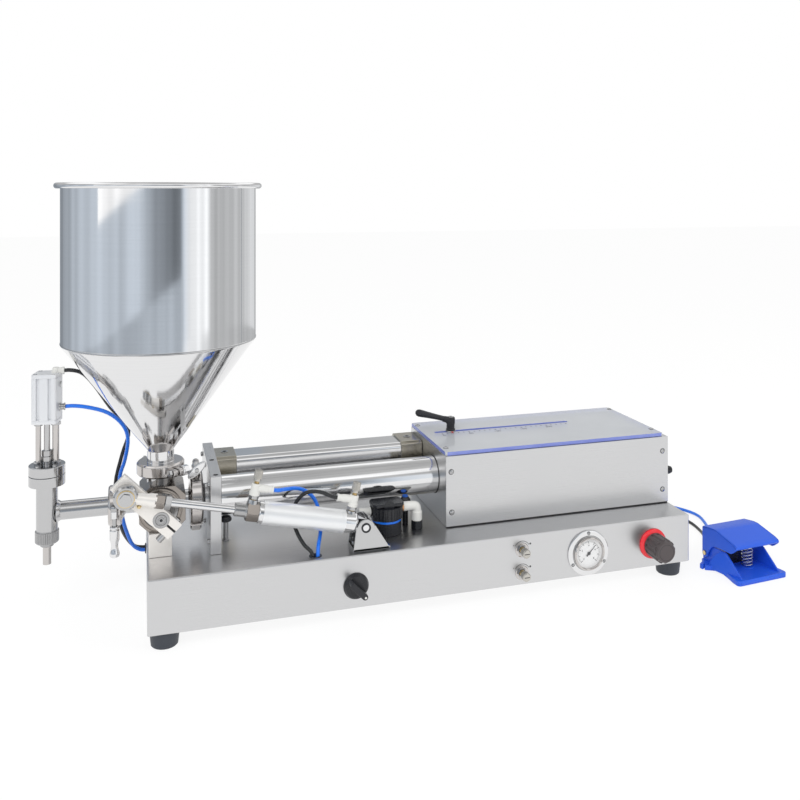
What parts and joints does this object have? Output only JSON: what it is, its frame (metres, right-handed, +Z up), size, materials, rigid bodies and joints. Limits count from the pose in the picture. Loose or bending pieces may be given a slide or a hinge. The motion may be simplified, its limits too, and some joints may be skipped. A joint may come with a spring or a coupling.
{
  "type": "piston paste filling machine",
  "caption": "Table-top pneumatic piston filler for paste: hopper, rotary valve with air actuator, metering cylinder, dosing head, control box and foot pedal.",
  "frame": {"origin": "middle of the box of the machine and its pedal, without the hoses, on the surface that it stands on", "axes": "+X along the machine from the hopper to the pedal, +Y from the operating panel to the back, +Z up"},
  "size_m": [1.2356, 0.5118, 0.6696],
  "materials": {
    "brushed_sheet": "brushed",
    "polished_steel": "polished",
    "champagne_cap": "satin",
    "satin_steel": "satin",
    "anodised": "satin",
    "clear_lid": "clear",
    "black_plastic": "matte",
    "foot_rubber": "matte",
    "gauge_dial": "polished",
    "red_ring": "glossy",
    "pedal_blue": "satin",
    "spring_steel": "polished",
    "tube_blue": "glossy",
    "tube_black": "glossy"
  },
  "bodies": {
    "machine": {"base_housing": "brushed_sheet", "front_plate": "brushed_sheet", "box_left_plate": "brushed_sheet", "box_right_plate": "brushed_sheet", "box_front_panel": "brushed_sheet", "box_back_panel": "brushed_sheet", "actuator_bracket": "brushed_sheet", "product_tube": "polished_steel", "air_barrel": "polished_steel", "hopper": "polished_steel", "hopper_clamp": "polished_steel", "cylinder_clamp": "polished_steel", "outlet_clamp": "polished_steel", "air_cap_left": "champagne_cap", "air_cap_right": "champagne_cap", "valve_body": "satin_steel", "dosing_body": "satin_steel", "dosing_flange": "satin_steel", "hose_union": "satin_steel", "dosing_cylinder": "anodised", "lid": "clear_lid", "quick_exhaust": "black_plastic", "foot_1": "foot_rubber", "foot_2": "foot_rubber", "foot_3": "foot_rubber", "foot_4": "foot_rubber", "gauge_body": "gauge_dial", "regulator_body": "red_ring", "pedal_base": "pedal_blue", "pedal_spring": "spring_steel", "dosing_tube_blue": "tube_blue", "actuator_tube_blue": "tube_blue", "pedal_hose_blue_start": "tube_blue", "pedal_hose_blue_coil": "tube_blue", "pedal_hose_blue_end": "tube_blue", "dosing_tube_black": "tube_black", "actuator_tube_black": "tube_black", "pedal_hose_black_start": "tube_black", "pedal_hose_black_coil": "tube_black", "pedal_hose_black_end": "tube_black"},
    "pistons": {"twin_piston": "satin_steel"},
    "stop": {"stop_carriage": "anodised"},
    "stop_lever": {"stop_handle": "black_plastic"},
    "valve_drive": {"valve_lever": "anodised", "valve_rotor": "satin_steel"},
    "actuator": {"actuator_barrel": "anodised"},
    "actuator_piston": {"actuator_rod": "satin_steel"},
    "front_flow_screw": {"flow_screw_front": "satin_steel"},
    "rear_flow_screw": {"flow_screw_rear": "satin_steel"},
    "dosing_shutoff": {"dosing_stem": "satin_steel"},
    "hopper_nut": {"hopper_clamp_nut": "polished_steel"},
    "cylinder_nut": {"cylinder_clamp_nut": "polished_steel"},
    "outlet_nut": {"outlet_clamp_nut": "polished_steel"},
    "deck_knob": {"hand_knob": "black_plastic"},
    "selector": {"selector_knob": "black_plastic"},
    "needle_valve_1": {"needle_knob_1": "satin_steel"},
    "needle_valve_2": {"needle_knob_2": "satin_steel"},
    "gauge_pointer": {"gauge_needle": "black_plastic"},
    "regulator": {"regulator_knob": "black_plastic"},
    "pedal": {"pedal_cover": "pedal_blue"}
  },
  "joints": [
    {"name": "piston_stroke", "type": "slide", "parent": "machine", "child": "pistons", "axis": [1, 0, 0], "range_m": [0, 0.24]},
    {"name": "stop_travel", "type": "slide", "parent": "machine", "child": "stop", "axis": [1, 0, 0], "range_m": [-0.008, 0.22]},
    {"name": "stop_lever_turn", "type": "hinge", "parent": "stop", "child": "stop_lever", "pos_m": [0.08291, 0.04648, 0.24], "axis": [0, 0, 1], "range_deg": [-180, 180]},
    {"name": "valve_turn", "type": "hinge", "parent": "machine", "child": "valve_drive", "pos_m": [-0.41679, -0.09252, 0.1746], "axis": [0, 1, 0], "range_deg": [0, 90]},
    {"name": "actuator_swing", "type": "hinge", "parent": "machine", "child": "actuator", "pos_m": [-0.11509, -0.10752, 0.1406], "axis": [0, 1, 0], "range_deg": [0, 5.7], "deforming": ["actuator_tube_blue", "actuator_tube_black"]},
    {"name": "actuator_draw", "type": "slide", "parent": "actuator", "child": "actuator_piston", "axis": [0.9774, 0, -0.2112], "range_m": [0, 0.0875]},
    {"name": "front_flow_turn", "type": "hinge", "parent": "actuator", "child": "front_flow_screw", "pos_m": [-0.27754, -0.10752, 0.22686], "axis": [0.2112, 0, 0.9774], "continuous": true},
    {"name": "rear_flow_turn", "type": "hinge", "parent": "actuator", "child": "rear_flow_screw", "pos_m": [-0.12701, -0.10752, 0.19433], "axis": [0.2112, 0, 0.9774], "continuous": true},
    {"name": "shutoff_lift", "type": "slide", "parent": "machine", "child": "dosing_shutoff", "axis": [0, 0, 1], "range_m": [0, 0.015]},
    {"name": "hopper_nut_turn", "type": "hinge", "parent": "machine", "child": "hopper_nut", "pos_m": [-0.39379, -0.04762, 0.22785], "axis": [0.866, 0.5, 0], "continuous": true},
    {"name": "cylinder_nut_turn", "type": "hinge", "parent": "machine", "child": "cylinder_nut", "pos_m": [-0.36239, -0.02852, 0.2245], "axis": [0, 1, 0], "continuous": true},
    {"name": "outlet_nut_turn", "type": "hinge", "parent": "machine", "child": "outlet_nut", "pos_m": [-0.48279, -0.05152, 0.118], "axis": [0, 0, 1], "continuous": true},
    {"name": "deck_knob_turn", "type": "hinge", "parent": "machine", "child": "deck_knob", "pos_m": [-0.31679, -0.01952, 0.135], "axis": [0, 0, 1], "continuous": true},
    {"name": "selector_turn", "type": "hinge", "parent": "machine", "child": "selector", "pos_m": [-0.13359, -0.14952, 0.059], "axis": [0, 1, 0], "range_deg": [-60, 0]},
    {"name": "needle_turn_1", "type": "hinge", "parent": "machine", "child": "needle_valve_1", "pos_m": [0.13951, -0.14952, 0.0813], "axis": [0, 1, 0], "continuous": true},
    {"name": "needle_turn_2", "type": "hinge", "parent": "machine", "child": "needle_valve_2", "pos_m": [0.13951, -0.14952, 0.0445], "axis": [0, 1, 0], "continuous": true},
    {"name": "pointer_turn", "type": "hinge", "parent": "machine", "child": "gauge_pointer", "pos_m": [0.25691, -0.14202, 0.063], "axis": [0, 1, 0], "range_deg": [0, 270], "stiffness_Nm_per_rad": 0.002},
    {"name": "regulator_turn", "type": "hinge", "parent": "machine", "child": "regulator", "pos_m": [0.37841, -0.16152, 0.0637], "axis": [0, 1, 0], "continuous": true},
    {"name": "pedal_press", "type": "hinge", "parent": "machine", "child": "pedal", "pos_m": [0.54633, -0.10565, 0.023], "axis": [0.9962, 0.0872, 0], "range_deg": [0, 12], "stiffness_Nm_per_rad": 3, "springref_deg": -22.92, "deforming": ["pedal_spring"]}
  ],
  "couplings": [
    {"joint": "actuator_swing", "follows": "valve_turn", "ratio": 0.061582},
    {"joint": "actuator_draw", "follows": "valve_turn", "m_per_rad": 0.054782}
  ]
}
